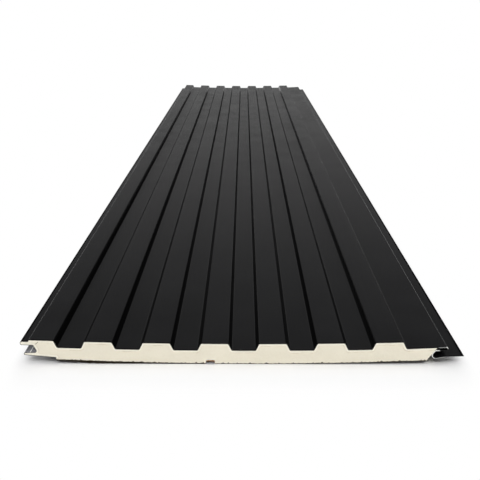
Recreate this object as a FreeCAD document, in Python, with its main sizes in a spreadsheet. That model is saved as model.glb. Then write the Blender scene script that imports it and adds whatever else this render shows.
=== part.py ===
# Insulated metal siding panel: a roll-formed ribbed face sheet, a foam core and a foil back.
# The panel lies on its back: X across the ribs, Y along them, Z up, origin under the middle of its width.
import FreeCAD, Part
import math
import os
import Sketcher

Vector = FreeCAD.Vector

doc = FreeCAD.newDocument("SidingPanel")
dims = doc.addObject("Spreadsheet::Sheet", "Dims")

# Driving dimensions in millimetres. Depths called "drop" are measured down from the crest of a rib.
SIZES = [
    ("length", 2400, "along the ribs"),
    ("thickness", 20, "crest of a rib to the back, in the middle of the panel"),
    ("gauge", 0.5, "face sheet"),
    ("foil", 0.2, "backing foil"),
    ("bend", 1.2, "inside radius of the rib bends"),
    ("rib_count", 7, "ribs across the panel"),
    ("rib_pitch", 53.8, "rib to rib"),
    ("crest_width", 25, "flat on top of a rib"),
    ("rib_height", 6.6, "valley to crest"),
    ("flank_run", 3.2, "width of one sloping flank"),
    ("bow", 3.6, "lift of the face at its edges, above its middle"),
    ("swell", 1.8, "how much thinner the panel is at its edges"),
    ("rest_width", 54, "flat strip under the middle, which the panel lies on"),
    ("lap_width", 30.7, "lip nose to the far edge of the first crest"),
    ("lip_reach", 7.9, "lip nose to the step up to the first crest"),
    ("lip_drop", 1.6, "top of the lip"),
    ("lip_depth", 3.7, "lip, outside to outside"),
    ("step_run", 1.0, "width of the step"),
    ("groove_mouth", 11.6, "lip nose to the top of the groove's back wall"),
    ("groove_depth", 15.8, "lip nose to the foot of the groove's back wall"),
    ("groove_drop", 11.8, "foot of the groove's back wall"),
    ("groove_bend", 1.3, "inside radius at that foot"),
    ("tongue_setback", 3.2, "tongue nose behind the lip nose"),
    ("tongue_drop", 12.7, "top of the tongue at its nose"),
    ("tongue_depth", 2.3, "tongue nose, outside to outside"),
    ("return_run", 33.0, "lip nose to the edge of the sheet under the panel"),
    ("return_drop", 16.7, "underside of the sheet at that edge"),
    ("flat_width", 38.3, "last flank to the hem nose"),
    ("hem_rise", 0.55, "climb of that flat to the hem"),
    ("hem_reach", 10.2, "hem nose beyond the foam"),
    ("hem_depth", 3.4, "hem, outside to outside"),
    ("foam_rake", 9.4, "how far the foam's edge leans in under the face"),
    ("channel_gap", 0.3, "foam edge to the channel behind the hem"),
    ("channel_rake", 7.25, "how far the channel leans in under the hem"),
    ("channel_drop", 18.6, "underside of the channel"),
    ("channel_bend", 2.45, "inside radius of the channel"),
    ("knee_run", 18, "channel to the knee in the flange"),
    ("knee_drop", 15.5, "underside of the flange at the knee"),
    ("flange_reach", 14.8, "flange edge beyond the hem nose"),
    ("flange_drop", 15.5, "underside of the flange at its edge"),
    ("notch_length", 100, "lip cut back at the far end"),
    ("void_offset", 29.3, "middle of the panel to the middle of the void"),
    ("void_width", 8.4, "void in the near end of the foam"),
    ("void_height", 3.0, "void above the foil"),
    ("void_depth", 5, "void into the foam"),
]
for row, (alias, value, note) in enumerate(SIZES, start=1):
    dims.set(f"A{row}", note)
    dims.set(f"B{row}", str(value))
    dims.setAlias(f"B{row}", alias)
doc.recompute()

RIB_COUNT = int(round(dims.rib_count))
FLATS_EACH_SIDE = 3  # flats that make up the bowed back on each side of the rest strip
NOSE_SHARE = 0.4  # bend radius of a folded nose, as a share of the opening inside it

# Places across the section, written as expressions of the driving dimensions

overall = (
    "(Dims.lap_width + (Dims.rib_count - 1) * Dims.rib_pitch"
    " + Dims.flank_run + Dims.flat_width + Dims.flange_reach)"
)
hem_run = f"({overall} - Dims.flange_reach)"


def across(run):
    """X of a place that lies `run` in from the lip's nose."""
    return f"({run} - {overall} / 2)"


def face_level(x, drop):
    """Z of a place that lies `drop` below the crests of the bowed face."""
    return f"(Dims.thickness - ({drop}) + Dims.bow * (2 * {x} / {overall})^2)"


def back_level(x):
    """Z of the bowed back, which is flat under the rest strip."""
    return f"((Dims.bow + Dims.swell) * ((2 * {x})^2 - Dims.rest_width^2) / {overall}^2)"


def place(name, run, drop, radius=None):
    """A corner of the sheet's foam side: its name, X, Z and bend radius."""
    x = across(run)
    return name, x, face_level(x, drop), radius


# The sheet is drawn as one line, its foam side, from the return under the tongue to the flange

OUTER_BEND = "Dims.bend"
INNER_BEND = "(Dims.bend + Dims.gauge)"
GROOVE_BEND = "(Dims.groove_bend + Dims.gauge)"


def nose_radius(depth):
    return f"({NOSE_SHARE} * ({depth} - 2 * Dims.gauge))"


def tongue_and_lip():
    """The joint edge: return, tongue, groove, lip and the step up to the first crest."""
    tongue_nose = "(Dims.tongue_setback + Dims.gauge)"
    tongue_floor = "(Dims.tongue_drop + Dims.tongue_depth - Dims.gauge)"
    tongue_bend = nose_radius("Dims.tongue_depth")
    lip_floor = "(Dims.lip_drop + Dims.lip_depth - Dims.gauge)"
    lip_bend = nose_radius("Dims.lip_depth")
    step_bend = "(Dims.lip_drop / 4)"
    return [
        place("return_edge", "Dims.return_run", "Dims.return_drop - Dims.gauge"),
        place("tongue_under", tongue_nose, tongue_floor, tongue_bend),
        place("tongue_over", tongue_nose, "Dims.tongue_drop + Dims.gauge", tongue_bend),
        place("groove_foot", "(Dims.groove_depth + Dims.gauge)", "Dims.groove_drop + Dims.gauge", GROOVE_BEND),
        place("groove_head", "(Dims.groove_mouth + Dims.gauge)", lip_floor, INNER_BEND),
        place("lip_under", "Dims.gauge", lip_floor, lip_bend),
        place("lip_over", "Dims.gauge", "Dims.lip_drop + Dims.gauge", lip_bend),
        place("step_foot", "(Dims.lip_reach - Dims.step_run / 2)", "Dims.lip_drop + Dims.gauge",
              f"({step_bend} + Dims.gauge)"),
        place("step_head", "(Dims.lip_reach + Dims.step_run / 2)", "Dims.gauge", step_bend),
    ]


def ribs():
    """Crests and flanks of every rib; the first crest starts at the step."""
    corners = []
    for rib in range(RIB_COUNT):
        crest_end = f"(Dims.lap_width + {rib} * Dims.rib_pitch)"
        crest_start = f"({crest_end} - Dims.crest_width)"
        valley = "Dims.rib_height + Dims.gauge"
        if rib > 0:
            corners.append(place(f"rise_foot_{rib + 1}", f"({crest_start} - Dims.flank_run)", valley, INNER_BEND))
            corners.append(place(f"rise_head_{rib + 1}", crest_start, "Dims.gauge", OUTER_BEND))
        corners.append(place(f"fall_head_{rib + 1}", crest_end, "Dims.gauge", OUTER_BEND))
        corners.append(place(f"fall_foot_{rib + 1}", f"({crest_end} + Dims.flank_run)", valley, INNER_BEND))
    return corners


foam_end_run = f"({hem_run} - Dims.hem_reach)"
foam_fall = "(Dims.thickness - Dims.swell - Dims.rib_height)"
foam_top_share = "((Dims.flat_width - Dims.hem_reach) / (Dims.flat_width - Dims.gauge))"
hem_top = "(Dims.rib_height - Dims.hem_rise)"
hem_floor = f"({hem_top} + Dims.hem_depth - Dims.gauge)"


def foam_edge_run(drop):
    """How far in from the lip's nose the foam's leaning edge lies, `drop` below the crests."""
    return f"({foam_end_run} - Dims.foam_rake * ({drop} - Dims.rib_height) / {foam_fall})"


def hem_and_flange():
    """The nailing edge: hem, channel behind it and the flange."""
    hem_nose = f"({hem_run} - Dims.gauge)"
    hem_bend = nose_radius("Dims.hem_depth")
    channel_head = f"({foam_edge_run(hem_floor)} + Dims.channel_gap)"
    channel_foot = f"({channel_head} - Dims.channel_rake)"
    channel_bend = "(Dims.channel_bend + Dims.gauge)"
    return [
        place("hem_over", hem_nose, f"{hem_top} + Dims.gauge", hem_bend),
        place("hem_under", hem_nose, hem_floor, hem_bend),
        place("channel_head", channel_head, hem_floor, channel_bend),
        place("channel_foot", channel_foot, "Dims.channel_drop", channel_bend),
        place("flange_knee", f"({channel_foot} + Dims.knee_run)", "Dims.knee_drop", INNER_BEND),
        place("flange_edge", overall, "Dims.flange_drop"),
    ]


# Sketches made of straight runs and bends, every corner bound to its expressions


def bent_line(sketch, corners, closed=False):
    """Draws straight runs between the corners, with an arc at each corner that has a radius."""

    def number(expression):
        return float(sketch.evalExpression(expression))

    count = len(corners)
    spots = [Vector(number(x), number(z), 0) for _, x, z, _ in corners]
    radii = [number(radius) if radius else 0.0 for _, _, _, radius in corners]

    # where the run before a corner stops, where the run after it starts, and its bend
    stops, starts, bends = [], [], []
    for i, (spot, radius) in enumerate(zip(spots, radii)):
        if radius == 0.0:
            stops.append(spot)
            starts.append(spot)
            bends.append(None)
            continue
        back = (spots[i - 1] - spot).normalize()
        ahead = (spots[(i + 1) % count] - spot).normalize()
        half = back.getAngle(ahead) / 2
        stops.append(spot + back * (radius / math.tan(half)))
        starts.append(spot + ahead * (radius / math.tan(half)))
        middle = spot + (back + ahead).normalize() * (radius / math.sin(half))
        turns_left = back.cross(ahead).z < 0
        bends.append((middle, turns_left))

    runs = range(count if closed else count - 1)
    lines = sketch.addGeometry([Part.LineSegment(starts[i], stops[(i + 1) % count]) for i in runs], False)
    arcs, marks = {}, {}
    for i, bend in enumerate(bends):
        if bend is None:
            continue
        middle, turns_left = bend
        ends = [stops[i] - middle, starts[i] - middle]
        if not turns_left:
            ends.reverse()
        angles = [math.atan2(end.y, end.x) for end in ends]
        circle = Part.Circle(middle, Vector(0, 0, 1), radii[i])
        arcs[i] = sketch.addGeometry(Part.ArcOfCircle(circle, *angles), False)
        marks[i] = sketch.addGeometry(Part.Point(spots[i]), True)

    constraints, bindings = [], []

    def bind(kind, name, expression, *where):
        constraint = Sketcher.Constraint(kind, *where, number(expression))
        constraint.Name = name
        constraints.append(constraint)
        bindings.append((name, expression))

    START, END, ORIGIN = 1, 2, (-1, 1)
    for i, (name, x, z, radius) in enumerate(corners):
        before = lines[i - 1] if closed or i > 0 else None
        after = lines[i] if closed or i < count - 1 else None
        if i in arcs:
            first, last = (START, END) if bends[i][1] else (END, START)
            constraints.append(Sketcher.Constraint("Tangent", before, END, arcs[i], first))
            constraints.append(Sketcher.Constraint("Tangent", arcs[i], last, after, START))
            constraints.append(Sketcher.Constraint("PointOnObject", marks[i], START, before))
            constraints.append(Sketcher.Constraint("PointOnObject", marks[i], START, after))
            bind("Radius", f"{name}_bend", radius, arcs[i])
            spot = (marks[i], START)
        else:
            if before is not None and after is not None:
                constraints.append(Sketcher.Constraint("Coincident", before, END, after, START))
            spot = (after, START) if after is not None else (before, END)
        bind("DistanceX", f"{name}_x", x, *ORIGIN, *spot)
        bind("DistanceY", f"{name}_z", z, *ORIGIN, *spot)
    sketch.addConstraint(constraints)
    for name, expression in bindings:
        sketch.setExpression(f"Constraints.{name}", expression)


def body_section(name, corners):
    """A body with the closed section padded to both sides of the XZ plane."""
    body = doc.addObject("PartDesign::Body", name)
    body.Label = name
    plane = next(f for f in body.Origin.OriginFeatures if f.Role == "XZ_Plane")
    sketch = body.newObject("Sketcher::SketchObject", f"{name}_section")
    sketch.AttachmentSupport = [(plane, "")]
    sketch.MapMode = "FlatFace"
    doc.recompute()
    bent_line(sketch, corners, closed=True)
    doc.recompute()
    pad = body.newObject("PartDesign::Pad", f"{name}_pad")
    pad.Profile = sketch
    pad.SideType = "Symmetric"
    pad.setExpression("Length", "Dims.length")
    doc.recompute()
    return body


def bound_box(box, low, size):
    """Binds a box's low corner and its size along X, Y and Z to expressions."""
    for axis, expression in zip("xyz", low):
        box.setExpression(f"Placement.Base.{axis}", expression)
    for side, expression in zip(("Length", "Width", "Height"), size):
        box.setExpression(side, expression)


# The lip is cut back at the far end, down to the middle of the groove

notch_x = across("0")
notch_drop = "((Dims.lip_drop + Dims.lip_depth + Dims.groove_drop) / 2)"
NOTCH_LOW = (
    f"{notch_x} - Dims.gauge",
    "Dims.length / 2 - Dims.notch_length",
    face_level(notch_x, notch_drop),
)
NOTCH_SIZE = (
    "Dims.lip_reach - Dims.step_run / 2 + Dims.gauge",
    "Dims.notch_length + Dims.gauge",
    f"{notch_drop} + Dims.gauge",
)


def make_face_sheet():
    line = doc.addObject("Sketcher::SketchObject", "sheet_line")
    line.Placement = FreeCAD.Placement(Vector(0, 0, 0), FreeCAD.Rotation(Vector(1, 0, 0), 90))
    bent_line(line, tongue_and_lip() + ribs() + hem_and_flange())
    doc.recompute()
    section = doc.addObject("Part::Offset2D", "sheet_section")
    section.Source = line
    section.Mode = "Skin"
    section.Fill = True
    section.setExpression("Value", "Dims.gauge")
    doc.recompute()
    rolled = doc.addObject("Part::Extrusion", "rolled_sheet")
    rolled.Base = section
    rolled.DirMode = "Normal"
    rolled.Symmetric = True
    rolled.Solid = True
    rolled.setExpression("LengthFwd", "Dims.length")
    notch = doc.addObject("Part::Box", "sheet_notch")
    bound_box(notch, NOTCH_LOW, NOTCH_SIZE)
    sheet = doc.addObject("Part::Cut", "face_sheet")
    sheet.Label = "face_sheet"
    sheet.Base = rolled
    sheet.Tool = notch
    doc.recompute()
    return sheet


def back_runs():
    """Places of the bends in the back, from the foam's leaning edge to the sheet's return."""
    right_end = across(f"({foam_end_run} - Dims.foam_rake)")
    left_end = across("Dims.return_run")
    half_rest = "Dims.rest_width / 2"
    places = []
    for end, side in ((right_end, 1), (left_end, -1)):
        inner = f"({side} * {half_rest})"
        shares = [k / FLATS_EACH_SIDE for k in range(FLATS_EACH_SIDE + 1)]
        half = [f"({inner} + {share} * ({end} - {inner}))" for share in shares]
        places += half[::-1] if side > 0 else half
    return places


def make_foam_core():
    over = tongue_and_lip() + ribs()
    foam_top = f"Dims.rib_height + Dims.gauge - Dims.hem_rise * {foam_top_share}"
    over.append(place("foam_edge_top", foam_end_run, foam_top))
    under = [(f"foam_back_{i}", x, f"({back_level(x)} + Dims.foil)", None) for i, x in enumerate(back_runs())]
    body = body_section("foam_core", over + under)
    notch = body.newObject("PartDesign::SubtractiveBox", "foam_notch")
    bound_box(notch, NOTCH_LOW, NOTCH_SIZE)
    void = body.newObject("PartDesign::SubtractiveBox", "foam_void")
    void_low = ("-Dims.void_offset - Dims.void_width / 2", "-Dims.length / 2", "0")
    bound_box(void, void_low, ("Dims.void_width", "Dims.void_depth", "Dims.foil + Dims.void_height"))
    body.Tip = void
    doc.recompute()
    return body


def make_backing_foil():
    runs = back_runs()
    under = [(f"under_{i}", x, back_level(x), None) for i, x in enumerate(runs)]
    over = [(f"over_{i}", x, f"({back_level(x)} + Dims.foil)", None) for i, x in enumerate(runs)]
    return body_section("backing_foil", under + over[::-1])


parts = [make_face_sheet(), make_foam_core(), make_backing_foil()]
doc.recompute()

for item in doc.Objects:
    if "Invalid" in item.State or "Error" in item.State:
        raise RuntimeError(f"{item.Label} did not build: {item.State}")
for part in parts:
    if part.Shape.isNull() or not part.Shape.isValid() or len(part.Shape.Solids) != 1:
        raise RuntimeError(f"{part.Label} is not one valid solid")

os.makedirs("parts", exist_ok=True)
for part in parts:
    part.Shape.exportStep(f"parts/{part.Label}.step")
    print(part.Label, round(part.Shape.Volume), part.Shape.BoundBox)
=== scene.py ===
import math

import bmesh
import bpy
import numpy as np
from mathutils import Matrix, Vector, geometry, noise


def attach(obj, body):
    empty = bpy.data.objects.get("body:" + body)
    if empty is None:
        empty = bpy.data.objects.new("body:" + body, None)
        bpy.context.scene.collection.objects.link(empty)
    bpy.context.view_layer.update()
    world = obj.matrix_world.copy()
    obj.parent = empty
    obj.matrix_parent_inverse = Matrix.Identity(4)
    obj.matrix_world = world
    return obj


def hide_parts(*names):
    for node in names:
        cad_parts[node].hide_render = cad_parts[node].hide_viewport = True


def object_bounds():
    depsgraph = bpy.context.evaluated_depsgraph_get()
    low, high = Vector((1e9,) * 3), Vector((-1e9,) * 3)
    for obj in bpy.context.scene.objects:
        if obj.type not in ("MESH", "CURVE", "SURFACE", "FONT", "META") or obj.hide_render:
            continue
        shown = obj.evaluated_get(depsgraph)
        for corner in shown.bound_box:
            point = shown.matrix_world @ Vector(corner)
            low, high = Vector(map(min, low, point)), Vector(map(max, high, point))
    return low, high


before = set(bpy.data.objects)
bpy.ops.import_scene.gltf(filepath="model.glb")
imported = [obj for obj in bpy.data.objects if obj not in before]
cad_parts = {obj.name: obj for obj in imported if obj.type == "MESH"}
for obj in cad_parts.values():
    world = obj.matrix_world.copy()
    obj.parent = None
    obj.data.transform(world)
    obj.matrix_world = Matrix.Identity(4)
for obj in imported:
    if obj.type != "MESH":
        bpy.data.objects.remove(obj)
cadLow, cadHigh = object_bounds()
nearY, farY = cadLow.y, cadHigh.y
scene = bpy.context.scene
mm = 0.001
print("frame loaded, nodes:", sorted(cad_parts))


# the rolled section in millimetres: a run is measured from the left edge, a drop down from the rib crests
size = dict(
    thickness=20.0, gauge=0.5, foil=0.2, bend=1.2, grooveBend=1.3,
    ribCount=7, ribPitch=53.8, crestWidth=25.0, ribHeight=6.6, flankRun=3.2,
    bow=3.6, swell=1.8, restWidth=54.0,
    lapWidth=30.7, lipReach=7.9, lipDrop=1.6, lipDepth=3.7, stepRun=1.0, stepBendShare=0.25,
    grooveMouth=11.6, grooveDepth=15.8, grooveDrop=11.8,
    tongueSetback=3.2, tongueDrop=12.7, tongueDepth=2.3, returnRun=33.0, returnDrop=16.7,
    flatWidth=38.3, hemRise=0.55, hemReach=10.2, hemDepth=3.4, foamRake=9.4,
    channelGap=0.3, channelRake=7.25, channelDrop=18.6, channelBend=2.8,
    kneeRun=18.0, kneeDrop=15.5, flangeReach=14.8, flangeDrop=15.5,
    noseShare=0.4, backFlats=3,
    notchLength=100.0, voidOffset=29.3, voidWidth=8.4, voidHeight=3.0, voidDepth=5.0,
)
lastCrest = size["lapWidth"] + (size["ribCount"] - 1) * size["ribPitch"]
hemRun = lastCrest + size["flankRun"] + size["flatWidth"]
overall = hemRun + size["flangeReach"]
hemTop = size["ribHeight"] - size["hemRise"]
hemFloor = hemTop + size["hemDepth"] - size["gauge"]
notchY = farY - size["notchLength"] * mm
print("section is", round(overall, 2), "mm wide, frame", round((cadHigh.x - cadLow.x) / mm, 2))


# a run from the left edge as the frame's x
def across(run):
    return run - overall / 2


foamEndRun = hemRun - size["hemReach"]
foamEnd = across(foamEndRun)


# the face bows up toward both long edges
def faceLevel(x, drop):
    return size["thickness"] - drop + size["bow"] * (2 * x / overall) ** 2


# the back rises beside its flat strip
def backLevel(x):
    return (size["bow"] + size["swell"]) * ((2 * x) ** 2 - size["restWidth"] ** 2) / overall ** 2


def foamEdgeRun(drop):
    height = size["thickness"] - size["swell"] - size["ribHeight"]
    return foamEndRun - size["foamRake"] * (drop - size["ribHeight"]) / height


def noseRadius(depth):
    return size["noseShare"] * (depth - 2 * size["gauge"])


def corner(name, run, drop, radius=0.0):
    x = across(run)
    return name, x, faceLevel(x, drop), radius


# foam side of the sheet as one bent line, from the return under the tongue to the flange
def sheetCorners():
    g = size["gauge"]
    outer, inner = size["bend"], size["bend"] + g
    tongueBend, lipBend, hemBend = (noseRadius(size[k]) for k in ("tongueDepth", "lipDepth", "hemDepth"))
    lipFloor = size["lipDrop"] + size["lipDepth"] - g
    tongueNose = size["tongueSetback"] + g
    stepBend = size["lipDrop"] * size["stepBendShare"]
    corners = [
        corner("returnEdge", size["returnRun"], size["returnDrop"] - g),
        corner("tongueUnder", tongueNose, size["tongueDrop"] + size["tongueDepth"] - g, tongueBend),
        corner("tongueOver", tongueNose, size["tongueDrop"] + g, tongueBend),
        corner("grooveFoot", size["grooveDepth"] + g, size["grooveDrop"] + g, size["grooveBend"] + g),
        corner("grooveHead", size["grooveMouth"] + g, lipFloor, inner),
        corner("lipUnder", g, lipFloor, lipBend),
        corner("lipOver", g, size["lipDrop"] + g, lipBend),
        corner("stepFoot", size["lipReach"] - size["stepRun"] / 2, size["lipDrop"] + g, stepBend + g),
        corner("stepHead", size["lipReach"] + size["stepRun"] / 2, g, stepBend),
    ]
    valley = size["ribHeight"] + g
    for rib in range(size["ribCount"]):
        crestEnd = size["lapWidth"] + rib * size["ribPitch"]
        crestStart = crestEnd - size["crestWidth"]
        if rib > 0:
            corners.append(corner("riseFoot", crestStart - size["flankRun"], valley, inner))
            corners.append(corner("riseHead", crestStart, g, outer))
        corners.append(corner("fallHead", crestEnd, g, outer))
        corners.append(corner("fallFoot", crestEnd + size["flankRun"], valley, inner))
    channelHead = foamEdgeRun(hemFloor) + size["channelGap"]
    channelFoot = channelHead - size["channelRake"]
    corners += [
        corner("hemOver", hemRun - g, hemTop + g, hemBend),
        corner("hemUnder", hemRun - g, hemFloor, hemBend),
        corner("channelHead", channelHead, hemFloor, size["channelBend"] + g),
        corner("channelFoot", channelFoot, size["channelDrop"], size["channelBend"] + g),
        corner("flangeKnee", channelFoot + size["kneeRun"], size["kneeDrop"], inner),
        corner("flangeEdge", overall, size["flangeDrop"]),
    ]
    return corners


# samples of the bent line: points, outward directions and the corner last passed
def bentLine(corners, arcStep=math.radians(9), flatStep=6.0, hemStep=1.0):
    names, xs, zs, radii = zip(*corners)
    spots = [np.array(spot) for spot in zip(xs, zs)]
    points, outward, tags = [], [], []

    def add(point, along, tag):
        points.append(point)
        outward.append(np.array((-along[1], along[0])))
        tags.append(tag)

    cursor = spots[0]
    for i in range(1, len(spots)):
        ahead = spots[i] - spots[i - 1]
        ahead = ahead / np.linalg.norm(ahead)
        radius = radii[i]
        turn = 0.0
        if radius > 0:
            leaving = spots[i + 1] - spots[i]
            leaving = leaving / np.linalg.norm(leaving)
            turn = math.atan2(ahead[0] * leaving[1] - ahead[1] * leaving[0], float(ahead @ leaving))
        stop = spots[i] - ahead * radius * math.tan(abs(turn) / 2)
        tag = names[i - 1]
        step = hemStep if stop[0] > foamEnd or tag == "lipOver" else flatStep
        pieces = max(1, math.ceil(np.linalg.norm(stop - cursor) / step))
        for k in range(pieces):
            add(cursor + (stop - cursor) * k / pieces, ahead, tag)
        add(stop, ahead, tag)
        cursor = stop
        if radius > 0:
            side = 1 if turn > 0 else -1
            middle = stop + side * radius * np.array((-ahead[1], ahead[0]))
            steps = max(2, math.ceil(abs(turn) / arcStep))
            for k in range(1, steps):
                angle = turn * k / steps
                cos, sin = math.cos(angle), math.sin(angle)
                spin = np.array(((cos, -sin), (sin, cos)))
                add(middle + spin @ (stop - middle), spin @ ahead, names[i])
            cursor = spots[i] + leaving * radius * math.tan(abs(turn) / 2)
    return np.array(points), np.array(outward), tags


sheetLine, sheetOut, sheetTags = bentLine(sheetCorners())
print("sheet line has", len(sheetLine), "samples")


# first and last sample of the lip, which is cut back at the far end
def lipSamples():
    lipEnd = across(size["lipReach"] - size["stepRun"] / 2)
    under = [i for i, tag in enumerate(sheetTags) if tag == "grooveHead" and sheetLine[i][0] <= lipEnd]
    over = [i for i, tag in enumerate(sheetTags) if tag == "lipOver"]
    return under[0], over[-1] + 1


# rows at these depths in millimetres behind both cut ends
def rowsByEnds(depths):
    return {nearY + d * mm for d in depths} | {farY - d * mm for d in depths}


# a piece with its materials, and a value per vertex for each named layer
def newPiece(name, verts, faces, materials, layers, smoothAngle, faceSlots=None):
    mesh = bpy.data.meshes.new(name)
    mesh.from_pydata([tuple(v) for v in verts], [], faces)
    mesh.validate()
    body = bmesh.new()
    body.from_mesh(mesh)
    bmesh.ops.recalc_face_normals(body, faces=body.faces)  # all faces look outward
    body.to_mesh(mesh)
    body.free()
    for material in materials:
        mesh.materials.append(material)
    if faceSlots is not None:
        mesh.polygons.foreach_set("material_index", np.array(faceSlots, np.int32))
    mesh.polygons.foreach_set("use_smooth", np.ones(len(mesh.polygons), bool))
    mesh.set_sharp_from_angle(angle=math.radians(smoothAngle))
    mesh.update()
    for layerName, values in layers.items():
        layer = mesh.attributes.new(layerName, "FLOAT", "POINT")
        layer.data.foreach_set("value", np.asarray(values, np.float32))
    piece = bpy.data.objects.new(name, mesh)
    scene.collection.objects.link(piece)
    return piece


# keeps only the vertices that a face uses, with their values in each layer
def usedOnly(verts, faces, layers):
    used = sorted({i for f in faces for i in f})
    index = {old: new for new, old in enumerate(used)}
    faces = [tuple(index[i] for i in f) for f in faces]
    layers = {name: [values[i] for i in used] for name, values in layers.items()}
    return [verts[i] for i in used], faces, layers


noiseLow, noiseHigh = 0.3, 0.7  # most values of a noise texture lie between these


class Nodes:
    def __init__(self, owner):
        owner.use_nodes = True
        self.tree = owner.node_tree
        self.shader = self.tree.nodes.get("Principled BSDF")

    def add(self, kind, inputs=None, **settings):
        node = self.tree.nodes.new(kind)
        for key, value in settings.items():
            setattr(node, key, value)
        for key, value in (inputs or {}).items():
            self.feed(node, key, value)
        return node

    def feed(self, node, key, value):
        socket = node.inputs[key]
        if isinstance(value, bpy.types.NodeSocket):
            self.tree.links.new(value, socket)
        else:
            socket.default_value = value

    def place(self):
        return self.add("ShaderNodeTexCoord").outputs["Object"]

    def scaled(self, vector, scales):
        return self.add("ShaderNodeMapping", {"Vector": vector, "Scale": scales}).outputs["Vector"]

    def noise(self, vector, scale, detail=3.0, rough=0.5):
        settings = {"Vector": vector, "Scale": scale, "Detail": detail, "Roughness": rough}
        return self.add("ShaderNodeTexNoise", settings).outputs["Fac"]

    # noise with its own scale along each axis
    def stretchedNoise(self, vector, scales, detail=3.0, rough=0.5):
        return self.noise(self.scaled(vector, scales), 1.0, detail, rough)

    def cells(self, vector, scale, feature="F1"):
        settings = {"Vector": vector, "Scale": scale}
        return self.add("ShaderNodeTexVoronoi", settings, feature=feature).outputs["Distance"]

    def greyRamp(self, value, stops):
        node = self.add("ShaderNodeValToRGB", {"Fac": value})
        elements = node.color_ramp.elements
        while len(elements) < len(stops):
            elements.new(0.5)
        for element, (spot, grey) in zip(elements, stops):
            element.position = spot
            element.color = (grey, grey, grey, 1)
        return node.outputs["Color"]

    def spread(self, value, low, high, fromLow=noiseLow, fromHigh=noiseHigh):
        ends = {"From Min": fromLow, "From Max": fromHigh, "To Min": low, "To Max": high}
        return self.add("ShaderNodeMapRange", {"Value": value, **ends}).outputs["Result"]

    def mix(self, factor, a, b):
        factorIn, colorA, colorB, colorOut = 0, 6, 7, 2  # sockets of a mix node set to colours
        node = self.add("ShaderNodeMix", {factorIn: factor}, data_type="RGBA")
        self.feed(node, colorA, a if isinstance(a, bpy.types.NodeSocket) else (*a, 1))
        self.feed(node, colorB, b if isinstance(b, bpy.types.NodeSocket) else (*b, 1))
        return node.outputs[colorOut]

    def math(self, operation, a, b=0.0):
        return self.add("ShaderNodeMath", {0: a, 1: b}, operation=operation).outputs[0]

    def vector(self, operation, a, b=(0, 0, 0), result="Vector"):
        return self.add("ShaderNodeVectorMath", {0: a, 1: b}, operation=operation).outputs[result]

    def attribute(self, name):
        return self.add("ShaderNodeAttribute", attribute_name=name).outputs["Fac"]

    def bump(self, height, strength, distance):
        settings = {"Height": height, "Strength": strength, "Distance": distance}
        return self.add("ShaderNodeBump", settings).outputs["Normal"]

    def set(self, **inputs):
        names = dict(color="Base Color", rough="Roughness", metal="Metallic", normal="Normal",
                     gloss="Specular IOR Level")
        for key, value in inputs.items():
            self.feed(self.shader, names[key], value)


# satin black coil paint; in the groove a streaky lighter grey is painted on for light reflected into it
# (painted reflection), with a painted highlight line along the tongue's top; bare steel where the shear
# chipped it
paint = dict(
    color=(0.006, 0.006, 0.0067), gloss=0.5, roughLow=0.17, roughHigh=0.23, roughScale=14.0,
    # painted shade for flanks, noses, edges and cut ends: a darker, almost glossless paint
    paintedShadeColor=(0.0016, 0.0016, 0.0017), paintedShadeGloss=0.0025, lastGloss=0.018,
    grainScale=1400.0, grainStrength=0.12, grainDepth=0.00004,
    paintedGrooveLight=(0.30, 0.30, 0.315), paintedGrooveLightDark=(0.17, 0.17, 0.18),
    streakScale=(900, 4, 900), streakRange=(0.35, 0.65),
    paintedHighlight=(0.9, 0.9, 0.87), paintedHighlightX=-0.1959, paintedHighlightHalf=0.0005,
    steel=(0.86, 0.86, 0.85), flakeScale=900.0, flakeReach=0.4, chipRange=(0.35, 0.5), chipLeast=0.02,
)


def paintMaterial(name, coat, gloss):
    material = bpy.data.materials.new(name)
    n = Nodes(material)
    place = n.place()
    # painted reflection: the groove's surfaces get a streaky lighter grey over the black paint
    streaks = n.stretchedNoise(place, paint["streakScale"], detail=2.0)
    paintedGrooveLight = n.mix(n.spread(streaks, 0.0, 1.0, *paint["streakRange"]), paint["paintedGrooveLightDark"], paint["paintedGrooveLight"])
    # painted highlight: a thin bright line along the tongue's top
    x = n.add("ShaderNodeSeparateXYZ", {0: place}).outputs["X"]
    off = n.math("ABSOLUTE", n.math("SUBTRACT", x, paint["paintedHighlightX"]))
    paintedGrooveLight = n.mix(n.math("LESS_THAN", off, paint["paintedHighlightHalf"]), paintedGrooveLight, paint["paintedHighlight"])
    color = n.mix(n.attribute("paintedGrooveLight"), coat, paintedGrooveLight)
    chip = n.attribute("chip")
    flakes = n.noise(place, paint["flakeScale"], detail=2.0)
    flakes = n.spread(flakes, -paint["flakeReach"], paint["flakeReach"])
    chipped = n.spread(n.math("ADD", chip, flakes), 0.0, 1.0, *paint["chipRange"])
    chipped = n.math("MULTIPLY", chipped, n.math("GREATER_THAN", chip, paint["chipLeast"]))
    n.set(color=n.mix(chipped, color, paint["steel"]), gloss=gloss)
    clouds = n.noise(place, paint["roughScale"], detail=4.0)
    n.set(rough=n.spread(clouds, paint["roughLow"], paint["roughHigh"]))
    grain = n.noise(place, paint["grainScale"], detail=2.0)
    n.set(normal=n.bump(grain, paint["grainStrength"], paint["grainDepth"]))
    return material


# grey coat on the sheet's foam side
backCoat = dict(color=(0.16, 0.16, 0.155), dark=(0.11, 0.11, 0.108), cloudScale=60.0, rough=0.5)


def sheetBack():
    material = bpy.data.materials.new("sheetBackCoat")
    n = Nodes(material)
    clouds = n.noise(n.place(), backCoat["cloudScale"], detail=4.0)
    n.set(color=n.mix(n.spread(clouds, 0.0, 1.0), backCoat["dark"], backCoat["color"]))
    n.set(rough=backCoat["rough"])
    return material


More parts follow.
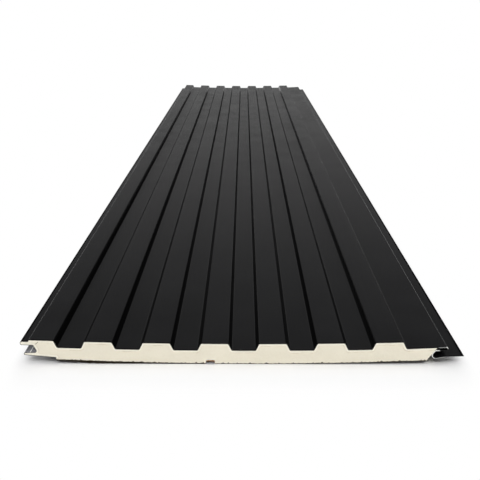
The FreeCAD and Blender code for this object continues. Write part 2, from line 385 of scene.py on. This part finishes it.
# sheared edge of the sheet: bright steel where it is bare; black where the paint was dragged over it, and
# painted shade where the edge lies in shadow, as on the hem's return ply and underside
shear = dict(bare=(0.95, 0.95, 0.94), dull=(0.78, 0.78, 0.77), coveredAndShaded=(0.004, 0.004, 0.004),
             markScale=3000.0, rough=0.38, gloss=0.2, metal=0.2)


def shearedEdge():
    material = bpy.data.materials.new("shearedEdge")
    n = Nodes(material)
    bare = n.attribute("bareAndLitEdge")
    marks = n.noise(n.place(), shear["markScale"], detail=2.0)
    steel = n.mix(n.spread(marks, 0.0, 1.0), shear["dull"], shear["bare"])
    n.set(color=n.mix(bare, shear["coveredAndShaded"], steel))
    n.set(rough=shear["rough"], gloss=shear["gloss"])
    n.set(metal=n.math("MULTIPLY", bare, shear["metal"]))
    return material


# how bare the sheared edge is along the section, by the corner last passed; low values also serve as painted
# shade where the edge lies in shadow
bareAndLitByTag = dict(returnEdge=0.03, tongueUnder=0.05, tongueOver=0.06, grooveFoot=0.06, grooveHead=0.06,
                lipUnder=0.06, lipOver=0.04, channelHead=1.0, flangeKnee=0.05)
# groove surfaces that carry the painted reflection
grooveLightTags = ("tongueOver", "grooveFoot", "grooveHead")
hemEdges = ("hemUnder", "channelHead", "channelFoot")
# the flank and lastFlank slots carry painted shade: darker, almost glossless copies of the face paint
sheetSlots = dict(face=0, back=1, sheared=2, flank=3, lastFlank=4)  # in the order of buildSheet's materials

# lengths in millimetres; the paint turns to painted shade past these sideways tilts, and the last rib stands
# past x = lastFlank
sheet = dict(
    stations=41, smoothAngle=35,
    innerTilt=0.5, outerTilt=0.04, lastTilt=0.3, footTilt=0.7, hemTilt=0.5, lipTilt=0.05,
    lastFlank=119.0, lastReach=2.4, lipStrip=2.2, edgeStrip=2.1,
    chipFull=0.5, chipEnd=1.1, paintedShadeEnd=1.5, bareEnough=0.5, burr=0.05,
    topPly=0.5, plyStart=1.4, underReach=2.0, fade=1.0,
    footRuns=(-4.0, -2.0, 6.7, 7.7), footBare=(1.0, 0.5, 0.4, 0.05), noseTurns=(-0.2, 0.4),
)


# bareness of the edge at one sample, with painted light and shade: it changes along the hem and the channel,
# is bright where the hem's nose faces up and dark where it faces down, and is even elsewhere
def bareAndLitLevel(x, out, tag):
    beyond = x - foamEnd
    if tag == "fallFoot":
        return sheet["topPly"] if beyond > sheet["plyStart"] else 0.0
    if tag == "hemUnder":
        return np.interp(beyond, (sheet["underReach"], sheet["underReach"] + sheet["fade"]), (1, 0))
    # painted light and shade on the hem's nose, set by which way it faces
    if tag == "hemOver":
        return np.interp(out[1], sheet["noseTurns"], (0, 1))
    if tag == "channelFoot":
        return np.interp(beyond, sheet["footRuns"], sheet["footBare"])
    return bareAndLitByTag.get(tag, 0.0)


# painted shade on rib flanks with part of their bends, on the two noses, the lip strip and the flange's edge
def paintSlot(x, out, tag):
    if x > overall / 2 - sheet["edgeStrip"] or tag == "lipOver" and x < across(sheet["lipStrip"]):
        return sheetSlots["flank"]
    least = dict(hemOver=sheet["hemTilt"], lipOver=sheet["lipTilt"],
                 riseFoot=sheet["footTilt"], fallFoot=sheet["footTilt"])
    if tag in ("riseHead", "fallHead"):
        if out[0] * x < 0:  # faces the middle of the panel
            least[tag] = sheet["innerTilt"]
        elif tag == "fallHead" and x > across(lastCrest) - sheet["lastReach"]:
            least[tag] = sheet["lastTilt"]
        else:
            least[tag] = sheet["outerTilt"]
    if abs(out[0]) <= least.get(tag, 1.0):
        return sheetSlots["face"]
    return sheetSlots["lastFlank" if out[0] < 0 and x > sheet["lastFlank"] else "flank"]


# one rolled sheet with its lip cut back at the far end
def buildSheet():
    count = len(sheetLine)
    first, last = lipSamples()
    endRows = rowsByEnds((sheet["chipFull"], sheet["chipEnd"], sheet["paintedShadeEnd"]))
    stations = sorted(set(np.linspace(nearY, farY, sheet["stations"])) | {notchY} | endRows)
    notchRow = stations.index(notchY)
    bare = [bareAndLitLevel(p[0], out, tag) for p, out, tag in zip(sheetLine, sheetOut, sheetTags)]
    burr = np.array([sheet["burr"] * b if tag in hemEdges else 0.0 for b, tag in zip(bare, sheetTags)])
    middles, means = (sheetLine[:-1] + sheetLine[1:]) / 2, (sheetOut[:-1] + sheetOut[1:]) / 2
    coats = [paintSlot(p[0], out, tag) for p, out, tag in zip(middles, means, sheetTags[1:])]
    verts = []
    layers = dict(bareAndLitEdge=[], paintedGrooveLight=[], chip=[])
    for y in stations:
        reach = min(y - nearY, farY - y) / mm
        chipped = np.interp(reach, (sheet["chipFull"], sheet["chipEnd"]), (1, 0))
        flare = burr * max(0.0, 1 - reach / sheet["chipFull"])
        outer = sheetLine + sheetOut * (size["gauge"] + flare)[:, None]
        for side in (outer, sheetLine):
            for (x, z), level, tag in zip(side, bare, sheetTags):
                verts.append((x * mm, y, z * mm))
                layers["bareAndLitEdge"].append(level)
                layers["paintedGrooveLight"].append(1.0 if tag in grooveLightTags else 0.0)
                layers["chip"].append(chipped if level > sheet["bareEnough"] else 0.0)

    def outside(i, j):
        return 2 * count * j + i

    def inside(i, j):
        return outside(i, j) + count

    faces, slots = [], []

    def add(slot, *corners):
        faces.append(corners)
        slots.append(slot)

    sheared = sheetSlots["sheared"]
    rows = len(stations)
    for j in range(rows - 1):
        middle = (stations[j] + stations[j + 1]) / 2
        atEnd = min(middle - nearY, farY - middle) < sheet["paintedShadeEnd"] * mm
        for i in range(count - 1):
            if j >= notchRow and first <= i < last:
                continue
            # painted shade on the face's first millimetres behind each cut end
            slot = sheetSlots["flank"] if atEnd else coats[i]
            add(slot, outside(i, j), outside(i, j + 1), outside(i + 1, j + 1), outside(i + 1, j))
            # painted shade: the foam side past the foam and along the hem's edges gets the black shaded
            # paint for the shaded inside of the fold; elsewhere the grey back coat
            painted = sheetLine[i][0] > foamEnd or sheetTags[i] in hemEdges
            slot = sheetSlots["flank" if painted else "back"]
            add(slot, inside(i, j), inside(i + 1, j), inside(i + 1, j + 1), inside(i, j + 1))
        starts, ends = [0], [count - 1]
        if j >= notchRow:
            starts.append(last)
            ends.append(first)
        for i in starts:
            add(sheared, outside(i, j), inside(i, j), inside(i, j + 1), outside(i, j + 1))
        for i in ends:
            add(sheared, outside(i, j), outside(i, j + 1), inside(i, j + 1), inside(i, j))
    for i in range(count - 1):
        add(sheared, outside(i, 0), outside(i + 1, 0), inside(i + 1, 0), inside(i, 0))
        end = notchRow if first <= i < last else rows - 1
        add(sheared, outside(i, end), inside(i, end), inside(i + 1, end), outside(i + 1, end))
    verts, faces, layers = usedOnly(verts, faces, layers)
    materials = [paintMaterial("facePaint", paint["color"], paint["gloss"]), sheetBack(), shearedEdge(),
                 # painted shade: darker, almost glossless copies of the face paint
                 paintMaterial("flankPaintedShade", paint["paintedShadeColor"], paint["paintedShadeGloss"]),
                 paintMaterial("lastFlankPaintedShade", paint["paintedShadeColor"], paint["lastGloss"])]
    piece = newPiece("face_sheet_rolled", verts, faces, materials, layers, sheet["smoothAngle"], slots)
    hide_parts("face_sheet")
    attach(piece, "root")
    print("face sheet built,", len(faces), "faces")


# closed cream foam: dense skin by the sheet, open cells on the cut, crumbled lower edge with a band of brown
# glue that is also painted shade for the dark gap under the panel
foam = dict(
    color=(0.85, 0.797, 0.66), shade=(0.80, 0.748, 0.61), cloudScale=(26, 26, 60), cloudRough=0.6,
    fineScale=420.0, fineShare=0.3, fineRange=(0.35, 0.7),
    skin=(0.89, 0.85, 0.725), skinShare=0.8, skinRange=(1.2, 2.2), wanderScale=110.0, wander=0.5,
    seam=(0.60, 0.53, 0.40), seamDepth=2.1, seamRange=(0.1, 0.45),
    patchScale=(90, 20, 90), patchShare=0.6, patchRange=(0.45, 0.6),
    split=(0.22, 0.17, 0.10), splitShare=0.8, splitRange=(0.1, 0.5),
    glueAndShade=(0.045, 0.03, 0.017), glueAndShadeShare=0.95, glueAndShadeRange=(0.7, 1.0), raggedScale=520.0, ragged=0.5,
    voidBrown=(0.95, 0.54, 0.2), rough=0.92, gloss=0.25,
    cellScale=1300.0, cellStrength=0.25, cellDepth=0.0003,
)


def foamMaterial():
    material = bpy.data.materials.new("cutFoam")
    n = Nodes(material)
    place = n.place()
    clouds = n.stretchedNoise(place, foam["cloudScale"], detail=4.0, rough=foam["cloudRough"])
    body = n.mix(n.spread(clouds, 0.0, 1.0), foam["shade"], foam["color"])
    fine = n.noise(place, foam["fineScale"])
    body = n.mix(n.spread(fine, 0.0, foam["fineShare"], *foam["fineRange"]), body, foam["skin"])

    # dense skin and a patchy seam behind it, at a wandering depth from the sheet
    wander = n.spread(n.noise(place, foam["wanderScale"], detail=2.0), -foam["wander"], foam["wander"])
    depth = n.math("ADD", n.attribute("skinDepth"), wander)
    body = n.mix(n.spread(depth, foam["skinShare"], 0.0, *foam["skinRange"]), body, foam["skin"])
    offSeam = n.math("ABSOLUTE", n.math("SUBTRACT", depth, foam["seamDepth"]))
    seam = n.spread(offSeam, 1.0, 0.0, *foam["seamRange"])
    patches = n.stretchedNoise(place, foam["patchScale"], detail=2.0)
    patches = n.spread(patches, 0.0, foam["patchShare"], *foam["patchRange"])
    body = n.mix(n.math("MULTIPLY", seam, patches), body, foam["seam"])

    split = n.spread(n.attribute("crackGap"), foam["splitShare"], 0.0, *foam["splitRange"])
    body = n.mix(split, body, foam["split"])
    # brown band along the lower edge: glue, and painted shade for the shadowed gap below
    ragged = n.spread(n.noise(place, foam["raggedScale"]), -foam["ragged"], foam["ragged"])
    glueAndShaded = n.math("ADD", n.attribute("glueAndShadeShare"), ragged)
    body = n.mix(n.spread(glueAndShaded, foam["glueAndShadeShare"], 0.0, *foam["glueAndShadeRange"]), body, foam["glueAndShade"])
    # brown painted on the void's ceiling and back wall
    body = n.mix(n.attribute("pocket"), body, foam["voidBrown"])
    n.set(color=body, rough=foam["rough"], gloss=foam["gloss"])
    n.set(normal=n.bump(n.cells(place, foam["cellScale"]), foam["cellStrength"], foam["cellDepth"]))
    return material


# distance of each point from a chain of straight runs
def chainDistance(points, chain):
    nearest = np.full(len(points), np.inf)
    chain = np.array(chain)
    for a, b in zip(chain, chain[1:]):
        along = b - a
        share = np.clip(((points - a) @ along) / (along @ along), 0, 1)
        nearest = np.minimum(nearest, np.linalg.norm(points - (a + share[:, None] * along), axis=1))
    return nearest


# points about step apart along such a chain
def chainPoints(chain, step):
    points = []
    for a, b in zip(chain, chain[1:]):
        pieces = math.ceil(math.dist(a, b) / step)
        points += [np.array(a) + (np.array(b) - np.array(a)) * k / pieces for k in range(pieces)]
    return points + [np.array(p) for p in chain[-1:]]


# bends of the back from right to left, a few flats on each side of the flat strip
def backBends():
    right = across(foamEndRun - size["foamRake"])
    left = across(size["returnRun"])
    half = size["restWidth"] / 2
    share = np.linspace(0, 1, size["backFlats"] + 1)
    return list(right + (half - right) * share) + list(-half + (left + half) * share)


# points along the back from right to left, about step apart, with the flats' bends kept
def backLine(step, extra=()):
    bends = backBends()
    marks = sorted(set(bends) | set(extra), reverse=True)
    xs = []
    for a, b in zip(marks, marks[1:]):
        pieces = max(1, math.ceil((a - b) / step))
        xs += [a + (b - a) * k / pieces for k in range(pieces)]
    xs.append(marks[-1])
    levels = np.interp(xs, bends[::-1], [backLevel(x) for x in bends[::-1]])
    return np.array(xs), levels


def insidePolygon(points, loop):
    inside = np.zeros(len(points), bool)
    px, pz = points[:, 0], points[:, 1]
    for (x0, z0), (x1, z1) in zip(loop, np.roll(loop, -1, axis=0)):
        crosses = (z0 > pz) != (z1 > pz)
        with np.errstate(divide="ignore", invalid="ignore"):
            inside ^= crosses & (px < (x1 - x0) * (pz - z0) / (z1 - z0) + x0)
    return inside


# the foam's mesh, cut ends and void, in millimetres; far is a distance at which no finish shows
foamCut = dict(
    seed=7, smoothAngle=40, far=9.0, depths=(0, 0.5, 1.4, 3.0), endGap=0.5, backStep=0.7, leanParts=8,
    capStep=1.5, capJitter=0.35, capClear=0.35,
    relief=0.16, evenShare=0.5, roughShare=0.6, roughScale=0.5, roughRow=2.0,
    pitShare=0.6, pitScale=1.7, pitRow=8.0,
    crack=((-188.1, 21.2), (-188.9, 20.4), (-190.6, 19.0)), crackStep=0.45,
    ceilingPoints=8, ceilingInsets=(0.35, 0.5), ceilingRise=(0.2, 0.5), ceilingSway=0.1,
)


# triangulated cut face: the loop's own vertices, then inner ones at a jittered grid
def cutFace(loop, generator, extra):
    step, jitter = foamCut["capStep"], foamCut["capJitter"]
    loop = np.array(loop)
    (lowX, lowZ), (highX, highZ) = loop.min(0), loop.max(0)
    grid = np.array([(x, z) for x in np.arange(lowX, highX, step) for z in np.arange(lowZ, highZ, step)])
    grid += generator.uniform(-jitter, jitter, grid.shape) * step
    grid = grid[insidePolygon(grid, loop)]
    grid = grid[chainDistance(grid, np.vstack((loop, loop[:1]))) > step * foamCut["capClear"]]
    points = [Vector(p) for p in (*loop, *grid, *extra)]
    edges = [(i, (i + 1) % len(loop)) for i in range(len(loop))]
    insideOnly, tolerance = 1, 1e-7
    found, _, faces, origins, _, _ = geometry.delaunay_2d_cdt(points, edges, [], insideOnly, tolerance)
    source = [o[0] if o else None for o in origins]
    return np.array([tuple(p) for p in found]), faces, source


# how far the foam has crumbled off the foil at a cut end, and how wide the brown glue and painted shade band
# shows along it
crumble = dict(
    coarse=0.5, coarseScale=0.16, coarseRow=1.3, fine=2.0, fineScale=0.6, fineRow=5.1,
    endShift=7.0, whole=0.2, most=1.2,
    places=(-171, -165, -60, -10, 40, 90, 150, 171),
    glueAndShadeWidths=(0.3, 0.5, 0.5, 0.35, 0.35, 0.35, 0.35, 0.3),
)


def crumbleLift(x, end):
    shift = end * crumble["endShift"]
    coarse = noise.noise(Vector((x * crumble["coarseScale"], shift, crumble["coarseRow"])))
    fine = noise.noise(Vector((x * crumble["fineScale"], shift, crumble["fineRow"])))
    lift = crumble["coarse"] * coarse + crumble["fine"] * fine - crumble["whole"]
    return min(crumble["most"], max(0.0, lift))


# pits and broken cells of a cut end, as a depth
def cutRelief(x, z, facing):
    roughScale, pitScale = foamCut["roughScale"], foamCut["pitScale"]
    rough = noise.noise(Vector((x * roughScale, z * roughScale, foamCut["roughRow"] + facing)))
    pit = noise.noise(Vector((x * pitScale, z * pitScale, foamCut["pitRow"] + facing)))
    share = foamCut["evenShare"] + foamCut["roughShare"] * rough + foamCut["pitShare"] * pit
    return foamCut["relief"] * max(0.0, share)


# the foam's section: under the sheet, down the raked right edge, and along the foil to the left
def foamOutline(voidLeft, voidRight):
    climb = (size["flatWidth"] - size["hemReach"]) / (size["flatWidth"] - size["gauge"])
    endDrop = size["ribHeight"] + size["gauge"] - size["hemRise"] * climb
    top = []
    for point, tag in zip(sheetLine, sheetTags):
        if point[0] >= foamEnd - foamCut["endGap"] and tag == "fallFoot":
            break
        top.append(tuple(point))
    top.append((foamEnd, faceLevel(foamEnd, endDrop)))
    backX, backZ = backLine(foamCut["backStep"], (voidLeft, voidRight))
    back = list(zip(backX, backZ + size["foil"]))
    head, foot = np.array(top[-1]), np.array(back[0])
    parts = foamCut["leanParts"]
    lean = [tuple(head + (foot - head) * k / parts) for k in range(1, parts)]
    return top, lean, back


def buildFoam():
    generator = np.random.default_rng(foamCut["seed"])
    far = foamCut["far"]
    voidLeft = -size["voidOffset"] - size["voidWidth"] / 2
    voidRight = voidLeft + size["voidWidth"]
    top, lean, back = foamOutline(voidLeft, voidRight)
    loop = np.array(top + lean + back)
    backStart = len(top) + len(lean)
    count = len(loop)
    first, last = lipSamples()
    backX = loop[backStart:, 0]
    right, left = [backStart + int(np.argmin(abs(backX - x))) for x in (voidRight, voidLeft)]

    depths = [d * mm for d in (*foamCut["depths"], size["voidDepth"])]
    stations = [nearY + d for d in depths] + [notchY] + [farY - d for d in reversed(depths)]
    crumbleDepth = foamCut["depths"][-1] * mm  # the lower edge is whole from here on
    fades = [max(0, 1 - d / crumbleDepth) for d in depths]
    fades = fades + [0] + fades[::-1]
    rows = len(stations)
    notchRow, voidRow = len(depths), len(depths) - 1
    verts = []
    layers = dict(skinDepth=[], glueAndShadeShare=[], crackGap=[], pocket=[])

    def addVertex(x, y, z, skin=far, glueAndShade=far, crack=far, pocket=0.0):
        verts.append((x * mm, y, z * mm))
        for values, value in zip(layers.values(), (skin, glueAndShade, crack, pocket)):
            values.append(value)
        return len(verts) - 1

    for j, (y, fade) in enumerate(zip(stations, fades)):
        nearEnd = j < notchRow
        for i, (x, z) in enumerate(loop):
            if i >= backStart and not (nearEnd and right <= i <= left):
                z += crumbleLift(x, 0.0 if nearEnd else 1.0) * fade
            addVertex(x, y, z, 0.0 if i < len(top) else far, 0.0 if i >= backStart else far)

    def at(i, j):
        return count * j + i % count

    faces = []
    for j in range(rows - 1):
        for i in range(count):
            if j >= notchRow and first <= i < last:
                continue
            if j < voidRow and right <= i < left:
                continue
            faces.append((at(i, j), at(i, j + 1), at(i + 1, j + 1), at(i + 1, j)))
        if j >= notchRow:
            faces.append((at(first, j), at(first, j + 1), at(last, j + 1), at(last, j)))
    faces.append(tuple(at(i, notchRow) for i in range(first, last + 1)))

    # walls of the void: a rough ceiling with slightly leaning sides
    insetRight, insetLeft = foamCut["ceilingInsets"]
    ceilingX = np.linspace(voidRight - insetRight, voidLeft + insetLeft, foamCut["ceilingPoints"])
    rise = generator.uniform(*foamCut["ceilingRise"], len(ceilingX))
    ceilingZ = size["foil"] + size["voidHeight"] + rise
    ceiling = []
    for j in range(voidRow + 1):
        sway = generator.uniform(-foamCut["ceilingSway"], foamCut["ceilingSway"], len(ceilingX))
        ceiling.append([addVertex(x, stations[j], z, pocket=min(1.0, j))
                        for x, z in zip(ceilingX + sway, ceilingZ)])
    for j, (near, behind) in enumerate(zip(ceiling, ceiling[1:])):
        for k in range(len(ceilingX) - 1):
            faces.append((near[k], behind[k], behind[k + 1], near[k + 1]))
        faces.append((at(right, j), at(right, j + 1), behind[0], near[0]))
        faces.append((near[-1], behind[-1], at(left, j + 1), at(left, j)))
    wallFoot = [at(i, voidRow) for i in range(right, left + 1)]
    for i in wallFoot:
        layers["pocket"][i] = 1.0
    faces.append(tuple(wallFoot + ceiling[voidRow][::-1]))

    # the two cut ends, with a crack in the near one
    def addCap(ids, facing, crack=()):
        flat = np.array([(verts[i][0] / mm, verts[i][2] / mm) for i in ids])
        points, triangles, source = cutFace(flat, generator, chainPoints(crack, foamCut["crackStep"]))
        lower = flat[[k for k, i in enumerate(ids) if layers["glueAndShadeShare"][i] < 1]]
        skin, glueAndShade = chainDistance(points, top), chainDistance(points, lower)
        glueAndShade = glueAndShade / np.interp(points[:, 0], crumble["places"], crumble["glueAndShadeWidths"])
        gap = chainDistance(points, crack) if crack else np.full(len(points), far)
        y = verts[ids[0]][1]
        index = []
        for (x, z), origin, *values in zip(points, source, skin, glueAndShade, gap):
            if origin is not None and origin < len(ids):
                i = ids[origin]
                for name, value in zip(("skinDepth", "glueAndShadeShare", "crackGap"), values):
                    layers[name][i] = value
                index.append(i)
            else:
                index.append(addVertex(x, y + facing * cutRelief(x, z, facing) * mm, z, *values))
        for triangle in triangles:
            order = triangle if facing > 0 else reversed(triangle)
            faces.append(tuple(index[k] for k in order))

    nearIds = [at(i, 0) for i in range(right + 1)] + ceiling[0] + [at(i, 0) for i in range(left, count)]
    addCap(nearIds, 1, foamCut["crack"])
    addCap([at(i, rows - 1) for i in range(count) if not first < i < last], -1)
    verts, faces, layers = usedOnly(verts, faces, layers)
    piece = newPiece("foam_core_cut", verts, faces, [foamMaterial()], layers, foamCut["smoothAngle"])
    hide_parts("foam_core")
    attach(piece, "root")
    print("foam core built,", len(faces), "faces")


# thin foil glued to the foam, slightly crinkled, brown glue stain at its cut ends that is also painted shade
# darkening the gap under the panel, a blister under the void
foil = dict(
    color=(0.80, 0.80, 0.79), dull=(0.66, 0.66, 0.655), shadeScale=(18, 6, 18), metal=0.9,
    stainAndShade=(0.03, 0.021, 0.013), stainAndShadeFull=4.0, stainAndShadeEnd=9.0, clean=(0.33, 0.36, 0.40),
    roughLow=0.26, roughHigh=0.42, roughScale=160.0,
    foldStretch=(1, 0.6, 1), foldScale=95.0, fineScale=700.0, fineShare=0.15,
    foldStrength=0.3, foldDepth=0.0006,
    step=2.0, rows=161, endRows=(1.0, 3.0), smoothAngle=40,
    crinkle=0.12, crinkleAcross=0.09, crinkleAlong=42.0, crinkleRow=3.3,
    voidEdge=0.3, blister=1.2, blisterStart=1.2,
)

# the foil's cut edge hangs loose beside the flat strip, by these heights
fringe = dict(
    places=(-171, -150, -133, -105, -85, -65, -45, 40, 70, 100, 120, 136, 156, 170),
    drops=(0.8, 1.4, 1.9, 1.6, 0.9, 0.5, 0.25, 0.05, 0.0, 0.0, 0.05, 0.1, 0.2, 0.3),
    reach=4.0, ragged=0.35, raggedScale=0.35, raggedRow=7.7, endShift=5.0,
)


def fringeDrop(x, reach, end):
    if reach >= fringe["reach"]:
        return 0.0
    ragged = noise.noise(Vector((x * fringe["raggedScale"], end * fringe["endShift"], fringe["raggedRow"])))
    drop = np.interp(x, fringe["places"], fringe["drops"]) * (1 + fringe["ragged"] * ragged)
    return drop * (1 - reach / fringe["reach"]) ** 2


def foilMaterial():
    material = bpy.data.materials.new("crinkledFoil")
    n = Nodes(material)
    place = n.place()
    glueAndShade, clean = n.attribute("glueAndShade"), n.attribute("clean")
    shade = n.stretchedNoise(place, foil["shadeScale"], detail=4.0)
    silver = n.mix(n.spread(shade, 0.0, 1.0), foil["dull"], foil["color"])
    silver = n.mix(clean, silver, foil["clean"])
    # brown at the cut ends: glue stain and painted shade for the dark gap under the panel
    n.set(color=n.mix(glueAndShade, silver, foil["stainAndShade"]))
    n.set(metal=n.spread(n.math("MAXIMUM", glueAndShade, clean), foil["metal"], 0.0, 0.0, 1.0))
    n.set(rough=n.spread(n.noise(place, foil["roughScale"]), foil["roughLow"], foil["roughHigh"]))
    folds = n.cells(n.scaled(place, foil["foldStretch"]), foil["foldScale"], "F2")
    fine = n.math("MULTIPLY", n.noise(place, foil["fineScale"]), foil["fineShare"])
    n.set(normal=n.bump(n.math("ADD", folds, fine), foil["foldStrength"], foil["foldDepth"]))
    return material


def buildFoil():
    half, soft = size["voidWidth"] / 2, foil["voidEdge"]
    voidEdges = [side * reach - size["voidOffset"] for side in (-1, 1) for reach in (half, half + soft)]
    xs, levels = backLine(foil["step"], voidEdges)
    endRows = rowsByEnds((*foil["endRows"], size["voidDepth"]))
    ys = sorted(set(np.linspace(nearY, farY, foil["rows"])) | endRows)
    count, rows = len(xs), len(ys)
    verts = []
    layers = dict(glueAndShade=[], clean=[])
    for y in ys:
        reach = min(y - nearY, farY - y) / mm
        underVoid = (y - nearY) / mm < size["voidDepth"] + soft
        stainAndShade = np.interp(reach, (foil["stainAndShadeFull"], foil["stainAndShadeEnd"]), (1, 0))
        blister = foil["blister"] * min(1, max(0, foil["blisterStart"] - reach / size["voidDepth"]))
        foldY = y * foil["crinkleAlong"]
        for layer in (0.0, size["foil"]):
            for x, z in zip(xs, levels):
                fold = noise.noise(Vector((x * foil["crinkleAcross"], foldY, foil["crinkleRow"])))
                crinkle = foil["crinkle"] * max(0.0, fold) if layer == 0.0 else 0.0
                level = max(layer, z + layer + crinkle - fringeDrop(x, reach, y > 0))
                aside = abs(x + size["voidOffset"])
                if underVoid and aside < half:
                    level += blister * (1 - (aside / half) ** 2)
                verts.append((x * mm, y, level * mm))
                inVoid = underVoid and aside < half + soft / 2
                layers["glueAndShade"].append(0.0 if inVoid else stainAndShade)
                layers["clean"].append(1.0 if inVoid else 0.0)

    def at(i, j, layer):
        return (2 * j + layer) * count + i

    faces = []
    endI, endJ = count - 1, rows - 1
    for j in range(endJ):
        for i in range(endI):
            faces.append((at(i, j, 0), at(i, j + 1, 0), at(i + 1, j + 1, 0), at(i + 1, j, 0)))
            faces.append((at(i, j, 1), at(i + 1, j, 1), at(i + 1, j + 1, 1), at(i, j + 1, 1)))
        faces.append((at(0, j, 0), at(0, j, 1), at(0, j + 1, 1), at(0, j + 1, 0)))
        faces.append((at(endI, j, 0), at(endI, j + 1, 0), at(endI, j + 1, 1), at(endI, j, 1)))
    for i in range(endI):
        faces.append((at(i, 0, 0), at(i + 1, 0, 0), at(i + 1, 0, 1), at(i, 0, 1)))
        faces.append((at(i, endJ, 0), at(i, endJ, 1), at(i + 1, endJ, 1), at(i + 1, endJ, 0)))
    piece = newPiece("backing_foil_crinkled", verts, faces, [foilMaterial()], layers, foil["smoothAngle"])
    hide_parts("backing_foil")
    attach(piece, "root")
    print("foil built,", len(faces), "faces")


buildSheet()
buildFoam()
buildFoil()


# pale floor, white for the eye far out, real shadow close to the panel
floor = dict(size=120.0, rim=2.0, gap=0.0002, color=(0.93, 0.93, 0.93), rough=0.9, gloss=0.1,
             inset=0.012, reach=(0.023, 0.07, 1.0))


def floorMaterial():
    material = bpy.data.materials.new("paleFloor")
    n = Nodes(material)
    n.set(color=(*floor["color"], 1), rough=floor["rough"], gloss=floor["gloss"])
    glow = n.add("ShaderNodeEmission", {"Color": (1, 1, 1, 1), "Strength": 1.0})
    seen = n.add("ShaderNodeLightPath").outputs
    looked = n.math("MAXIMUM", seen["Is Camera Ray"], seen["Is Glossy Ray"])
    looked = n.math("MAXIMUM", looked, seen["Is Transmission Ray"])
    spot = n.vector("ABSOLUTE", n.place())
    beside = n.vector("SUBTRACT", spot, (cadHigh.x - floor["inset"], farY, 0))
    beside = n.vector("MAXIMUM", beside, (0, 0, 0))
    away = n.vector("LENGTH", n.vector("DIVIDE", beside, floor["reach"]), result="Value")
    white = n.add("ShaderNodeMapRange", {"Value": away}, interpolation_type="SMOOTHSTEP").outputs["Result"]
    parts = {0: n.math("MULTIPLY", looked, white), 1: n.shader.outputs[0], 2: glow.outputs[0]}
    blend = n.add("ShaderNodeMixShader", parts)
    n.feed(n.tree.nodes["Material Output"], "Surface", blend.outputs[0])
    return material


def buildFloor():
    half, rim = floor["size"] / 2, floor["rim"]
    corners = ((-1, -1), (1, -1), (1, 1), (-1, 1))
    verts = [(x * half, y * half, 0) for x, y in corners]
    verts += [(x * (half + rim), y * (half + rim), rim) for x, y in corners]
    sides = len(corners)
    faces = [tuple(range(sides))]
    for i in range(sides):
        after = (i + 1) % sides
        faces.append((i, i + sides, after + sides, after))  # turned-up rim hides the horizon
    mesh = bpy.data.meshes.new("floor")
    mesh.from_pydata(verts, [], faces)
    mesh.materials.append(floorMaterial())
    plane = bpy.data.objects.new("floor", mesh)
    plane.location.z = cadLow.z - floor["gap"]
    scene.collection.objects.link(plane)


# a dim sky, its grey set by height, and four soft boxes
studio = dict(
    sky=((0.05, 0.265), (0.10, 0.222), (0.155, 0.172), (0.24, 0.11),
         (0.36, 0.056), (0.46, 0.045), (0.6, 0.4), (1.0, 0.42)),
    topPower=14.0, topSize=(6.0, 5.4), topHeight=3.2, topY=0.4,
    frontPower=42.5, frontSize=(2.4, 1.2), frontPlace=(0.0, -3.2, 2.0), frontAim=0.01,
    sidePower=24.0, sideSize=(1.6, 0.8), sidePlace=(2.2, -1.0, 0.8),
)


def lamp(name, extent, power, spot, target):
    data = bpy.data.lights.new(name, "AREA")
    data.shape = "RECTANGLE"
    data.size, data.size_y = extent
    data.energy = power
    item = bpy.data.objects.new(name, data)
    item.location = spot
    item.rotation_euler = (Vector(target) - Vector(spot)).to_track_quat("-Z", "Y").to_euler()
    item.visible_glossy = False  # the gloss shows the even sky, not four boxes
    scene.collection.objects.link(item)


def buildStudio():
    world = bpy.data.worlds.new("dimStudio")
    scene.world = world
    n = Nodes(world)
    direction = n.add("ShaderNodeTexCoord").outputs["Generated"]
    height = n.add("ShaderNodeSeparateXYZ", {0: direction}).outputs["Z"]
    n.feed(n.tree.nodes["Background"], "Color", n.greyRamp(height, studio["sky"]))
    topY = studio["topY"]
    lamp("topBox", studio["topSize"], studio["topPower"], (0, topY, studio["topHeight"]), (0, topY, 0))
    lamp("frontBox", studio["frontSize"], studio["frontPower"], studio["frontPlace"],
         (0, nearY, studio["frontAim"]))
    sideX, sideY, sideZ = studio["sidePlace"]
    for name, side in (("rightBox", 1), ("leftBox", -1)):
        lamp(name, studio["sideSize"], studio["sidePower"], (side * sideX, sideY, sideZ), (0, sideY, 0))
    scene.view_settings.view_transform = "Standard"


# the camera looks down along the ribs from the near end
view = dict(focalPx=912.0, framePx=480, sensor=36.0, clip=(0.05, 300),
            place=(0.00126, -1.9856, 0.3322), pitch=15.184, yaw=0.235, roll=0.046)


def buildCamera():
    data = bpy.data.cameras.new("camera")
    data.sensor_width = view["sensor"]
    data.lens = view["focalPx"] / view["framePx"] * view["sensor"]
    data.clip_start, data.clip_end = view["clip"]
    item = bpy.data.objects.new("camera", data)
    turn = Matrix.Rotation(math.radians(view["yaw"]), 4, "Z")
    tilt = Matrix.Rotation(math.radians(90 - view["pitch"]), 4, "X")
    roll = Matrix.Rotation(math.radians(view["roll"]), 4, "Z")
    item.matrix_world = Matrix.Translation(view["place"]) @ turn @ tilt @ roll
    scene.collection.objects.link(item)
    scene.camera = item


buildFloor()
buildStudio()
buildCamera()
print("stage and camera built")
